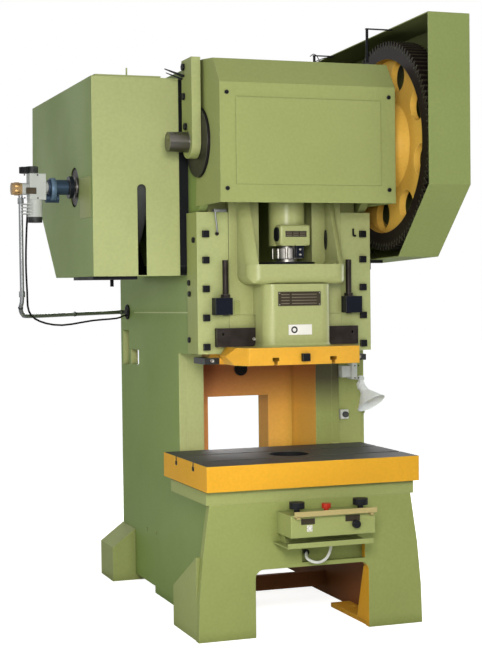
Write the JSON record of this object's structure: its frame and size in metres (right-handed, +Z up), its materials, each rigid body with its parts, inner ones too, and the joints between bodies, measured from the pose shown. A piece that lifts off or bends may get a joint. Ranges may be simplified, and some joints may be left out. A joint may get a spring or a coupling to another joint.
{
  "type": "cnc punch press",
  "caption": "Open-front geared power press: C-frame with bolster table, gibbed slide on a crosswise crankshaft, gear and flywheel guards, air clutch and two-hand controls.",
  "frame": {"origin": "on the floor straight below the slide axis", "axes": "+Z up, front of the press towards -Y, +X to the right of someone facing the front"},
  "size_m": [1.953, 2.158, 2.911],
  "materials": {
    "leaf_paint": "satin olive-green paint",
    "slide_paint": "satin green paint, orange on the flange",
    "orange_paint": "orange-yellow paint, bare top",
    "gear_iron": "orange paint inside, greasy dark teeth",
    "machined_steel": "turned or ground",
    "dark_steel": "black",
    "cast_wheel": "machined rim",
    "bronze": "turned",
    "motor_paint": "satin",
    "belt_rubber": "matt",
    "union_blue": "blue-black",
    "valve_white": "white-coated",
    "pipe_grey": "grey conduit",
    "rail_tan": "tan",
    "cable_white": "white sheath",
    "button_black": "black",
    "button_red": "red",
    "lamp_grey": "light grey",
    "lamp_white": "white enamel",
    "plate_dark": "dark anodised"
  },
  "bodies": {
    "frame": {"side_plate_left": "leaf_paint", "side_plate_right": "leaf_paint", "front_plate": "leaf_paint", "bed_top_plate": "leaf_paint", "throat_shell": "orange_paint", "cross_plates": "leaf_paint", "feet": "leaf_paint", "guide_ways": "machined_steel", "gib_housings": "leaf_paint", "gib_plates": "leaf_paint", "gib_bolts": "dark_steel", "bolster_plate": "orange_paint", "bearing_bushes": "bronze", "bearing_flanges": "dark_steel", "shaft_bracket": "leaf_paint", "hex_bolts": "dark_steel", "head_cover": "leaf_paint", "cover_screws": "dark_steel", "stop_blocks": "dark_steel", "stop_screws": "machined_steel", "brake_housing": "dark_steel", "motor": "motor_paint", "drive_belts": "belt_rubber", "flywheel_guard": "leaf_paint", "guard_backing": "dark_steel", "drip_trays": "dark_steel", "gear_hood": "leaf_paint", "hood_stays": "dark_steel", "air_union": "union_blue", "air_valve": "valve_white", "air_lines": "pipe_grey", "control_box": "leaf_paint", "control_rail": "rail_tan", "control_cable": "cable_white", "electric_cabinet": "leaf_paint", "lamp_base": "lamp_grey"},
    "crank": {"crankshaft": "machined_steel", "main_gear": "gear_iron"},
    "rod": {"connecting_rod": "leaf_paint", "rod_cap": "leaf_paint", "rod_cap_bolts": "machined_steel"},
    "screw": {"adjusting_screw": "machined_steel"},
    "slide": {"slide_body": "slide_paint", "ball_retainer": "dark_steel", "slide_plates": "plate_dark", "shank_screw": "dark_steel"},
    "knockout": {"knockout_bar": "dark_steel", "knockout_pin": "machined_steel"},
    "clutch": {"clutch_shaft": "machined_steel", "pinion": "machined_steel", "clutch_drum": "dark_steel"},
    "wheel": {"flywheel": "cast_wheel"},
    "motor_rotor": {"motor_pulley": "machined_steel"},
    "palm_left": {"palm_button_left": "button_black"},
    "palm_right": {"palm_button_right": "button_black"},
    "stop": {"stop_button": "button_red"},
    "selector": {"selector_knob": "button_black"},
    "door": {"cabinet_door": "leaf_paint"},
    "lamp_knuckle": {"lamp_arm": "lamp_grey"},
    "lamp_head": {"lamp_shade": "lamp_white"}
  },
  "joints": [
    {"name": "crank_turn", "type": "hinge", "parent": "frame", "child": "crank", "pos_m": [0, 0, 2.338], "axis": [-1, 0, 0], "range_deg": [0, 180]},
    {"name": "rod_swing", "type": "hinge", "parent": "crank", "child": "rod", "pos_m": [0, 0, 2.403], "axis": [-1, 0, 0], "range_deg": [-180, 0]},
    {"name": "screw_turn", "type": "hinge", "parent": "rod", "child": "screw", "pos_m": [0, 0, 1.8], "axis": [0, 0, 1], "continuous": true},
    {"name": "slide_stroke", "type": "slide", "parent": "frame", "child": "slide", "axis": [0, 0, 1], "range_m": [-0.13, 0]},
    {"name": "knockout_lift", "type": "slide", "parent": "slide", "child": "knockout", "axis": [0, 0, 1], "range_m": [0, 0.06]},
    {"name": "clutch_turn", "type": "hinge", "parent": "frame", "child": "clutch", "pos_m": [0, 0.56616, 2.155], "axis": [-1, 0, 0], "range_deg": [-1080, 0]},
    {"name": "flywheel_turn", "type": "hinge", "parent": "frame", "child": "wheel", "pos_m": [-0.75, 0.56616, 2.155], "axis": [-1, 0, 0], "continuous": true},
    {"name": "motor_turn", "type": "hinge", "parent": "frame", "child": "motor_rotor", "pos_m": [-0.6, 1.29, 2.44], "axis": [-1, 0, 0], "continuous": true},
    {"name": "palm_left_press", "type": "slide", "parent": "frame", "child": "palm_left", "axis": [0, 0, -1], "range_m": [0, 0.008], "stiffness_N_per_m": 1500, "springref_m": -0.004},
    {"name": "palm_right_press", "type": "slide", "parent": "frame", "child": "palm_right", "axis": [0, 0, -1], "range_m": [0, 0.008], "stiffness_N_per_m": 1500, "springref_m": -0.004},
    {"name": "stop_press", "type": "slide", "parent": "frame", "child": "stop", "axis": [0, 0, -1], "range_m": [0, 0.006]},
    {"name": "selector_turn", "type": "hinge", "parent": "frame", "child": "selector", "pos_m": [0.141, -0.48, 0.537], "axis": [0, -1, 0], "range_deg": [-45, 45]},
    {"name": "door_swing", "type": "hinge", "parent": "frame", "child": "door", "pos_m": [0.589, 0.902, 0.97], "axis": [0, 0, 1], "range_deg": [0, 110]},
    {"name": "lamp_swivel", "type": "hinge", "parent": "frame", "child": "lamp_knuckle", "pos_m": [0.541, 0.332, 1.124], "axis": [0, 0, 1], "range_deg": [-25, 25]},
    {"name": "lamp_tilt", "type": "hinge", "parent": "lamp_knuckle", "child": "lamp_head", "pos_m": [0.541, 0.332, 1.124], "axis": [1, 0, 0], "range_deg": [-30, 15]}
  ],
  "couplings": [
    {"joint": "rod_swing", "follows": "crank_turn", "ratio": -1},
    {"joint": "slide_stroke", "follows": "crank_turn", "m_per_rad": -0.04138},
    {"joint": "clutch_turn", "follows": "crank_turn", "ratio": -6},
    {"joint": "motor_turn", "follows": "flywheel_turn", "ratio": 4}
  ]
}
